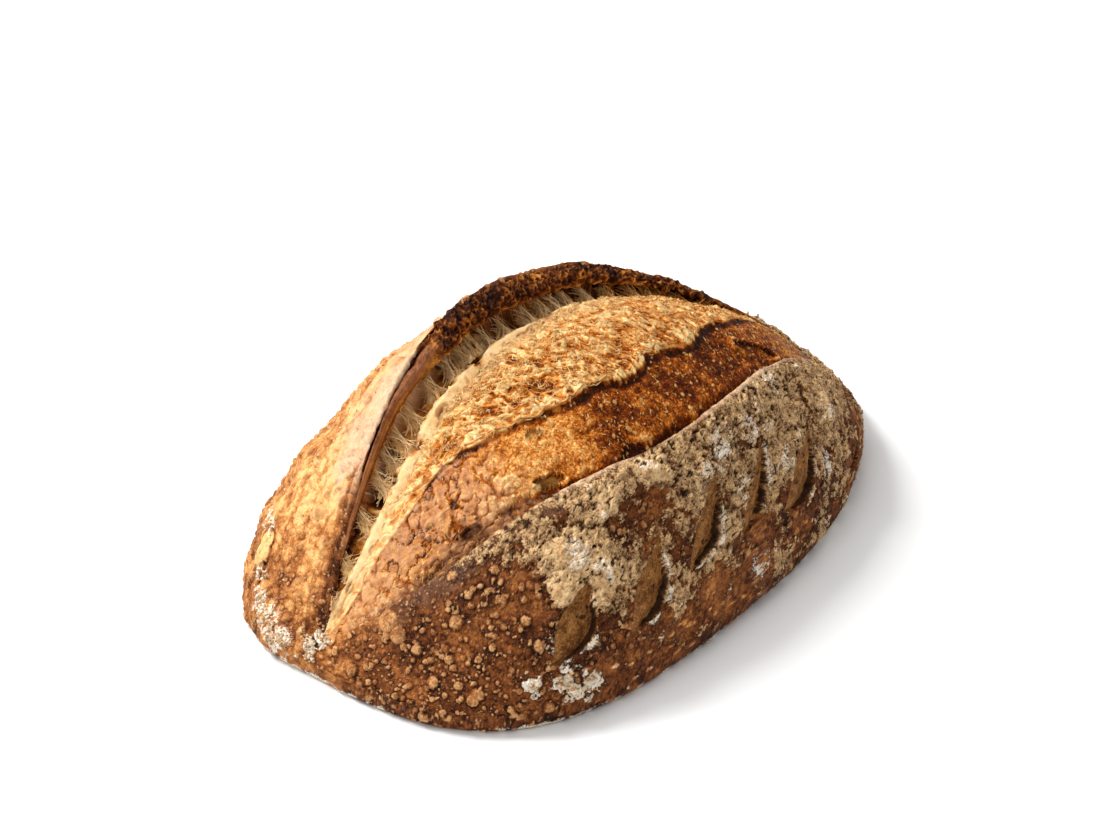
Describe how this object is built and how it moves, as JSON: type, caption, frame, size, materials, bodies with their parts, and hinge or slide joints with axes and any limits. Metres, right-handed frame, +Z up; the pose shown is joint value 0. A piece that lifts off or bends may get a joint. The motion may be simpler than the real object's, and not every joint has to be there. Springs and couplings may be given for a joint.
{
  "type": "sourdough loaf",
  "caption": "Oval hand-shaped sourdough loaf with a long opened slash, a raised ear and leaf-shaped cuts down its floured flanks.",
  "frame": {"origin": "middle of the flat underside, under the middle of the loaf's outline", "axes": "+X along the loaf's length towards its narrower far end, +Y towards the ear's flank, +Z up; the floured flank faces -Y"},
  "size_m": [0.2784, 0.1677, 0.103],
  "materials": {
    "crust": "baked wheat crust, golden to dark brown, blistered, floured on one flank"
  },
  "bodies": {
    "root": {"loaf": "crust"}
  },
  "joints": []
}
